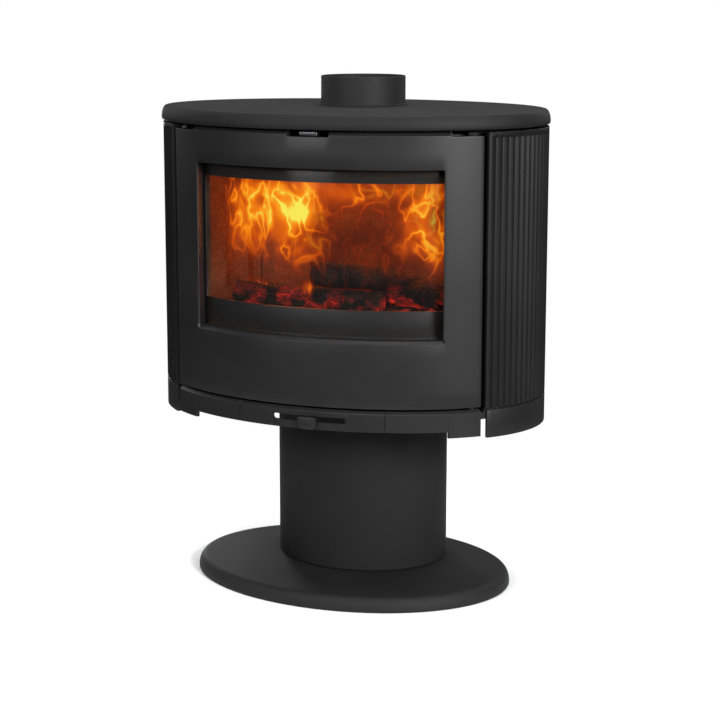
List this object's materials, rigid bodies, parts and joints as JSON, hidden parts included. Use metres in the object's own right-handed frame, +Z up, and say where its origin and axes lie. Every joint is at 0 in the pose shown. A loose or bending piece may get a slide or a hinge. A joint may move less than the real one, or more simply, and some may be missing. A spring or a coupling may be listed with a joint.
{
  "type": "wood burning stove",
  "caption": "Oval pedestal wood burning stove with a curved glass door, fluted side panels, top flue collar and two sliding air controls.",
  "frame": {"origin": "on the floor, at the middle of the body's plan, under the bounding box's centre", "axes": "+Z up, the door faces -Y, +X to the right seen from the front"},
  "size_m": [0.696, 0.48, 0.896],
  "materials": {
    "matte_black": "matte high-temperature paint",
    "cast_black": "matte painted casting",
    "bare_steel": "brushed",
    "glass": "clear ceramic glass",
    "rope": "braided glass fibre",
    "firebrick": "pressed vermiculite",
    "grate_iron": "bare casting"
  },
  "bodies": {
    "stove": {"base_plate": "matte_black", "column": "matte_black", "column_foot": "matte_black", "column_head": "matte_black", "column_bolt_1": "bare_steel", "column_bolt_2": "bare_steel", "column_bolt_3": "bare_steel", "column_bolt_4": "bare_steel", "floor_plate": "matte_black", "front_frame": "matte_black", "carcass_wall": "matte_black", "firebox_top": "matte_black", "top_plate": "cast_black", "flue_collar": "matte_black", "collar_ring": "matte_black", "top_spacer_1": "matte_black", "top_spacer_2": "matte_black", "top_spacer_3": "matte_black", "top_spacer_4": "matte_black", "side_panel_right": "cast_black", "side_panel_left": "cast_black", "panel_rail": "matte_black", "panel_rest": "matte_black", "rear_shield": "matte_black", "skirt_centre": "matte_black", "skirt_front_right": "matte_black", "skirt_front_left": "matte_black", "skirt_side_right": "matte_black", "skirt_side_left": "matte_black", "skirt_rear": "matte_black", "hearth_ledge": "matte_black", "hearth_plate": "grate_iron", "grate": "grate_iron", "liner_right": "firebrick", "liner_left": "firebrick", "liner_back": "firebrick", "baffle_lower": "firebrick", "baffle_ledge_right": "matte_black", "baffle_ledge_left": "matte_black", "baffle_upper": "grate_iron", "ash_pan": "matte_black", "ash_runner_left": "matte_black", "ash_runner_right": "matte_black", "air_guide": "matte_black", "airwash_guide": "matte_black", "hinge_bracket_top": "matte_black", "hinge_bracket_bottom": "matte_black", "latch_keeper": "bare_steel"},
    "door": {"door_frame": "matte_black", "door_glass": "glass", "glass_retainer_bottom": "matte_black", "glass_retainer_top": "matte_black", "door_seal": "rope", "latch_guide": "matte_black"},
    "latch": {"latch_lever": "bare_steel", "latch_spindle": "bare_steel"},
    "primary_air": {"air_slider": "bare_steel", "air_tab": "matte_black"},
    "airwash": {"airwash_slider": "bare_steel", "airwash_knob": "bare_steel"}
  },
  "joints": [
    {"name": "door_hinge", "type": "hinge", "parent": "stove", "child": "door", "pos_m": [0.25583, -0.13721, 0.361], "axis": [0, 0, 1], "range_deg": [0, 105]},
    {"name": "latch_turn", "type": "hinge", "parent": "door", "child": "latch", "pos_m": [-0.24601, -0.12563, 0.81], "axis": [0, 0, 1], "range_deg": [-47, 0]},
    {"name": "primary_air_slide", "type": "slide", "parent": "stove", "child": "primary_air", "axis": [1, 0, 0], "range_m": [-0.045, 0.045]},
    {"name": "airwash_slide", "type": "slide", "parent": "stove", "child": "airwash", "axis": [1, 0, 0], "range_m": [-0.018, 0.018]}
  ]
}
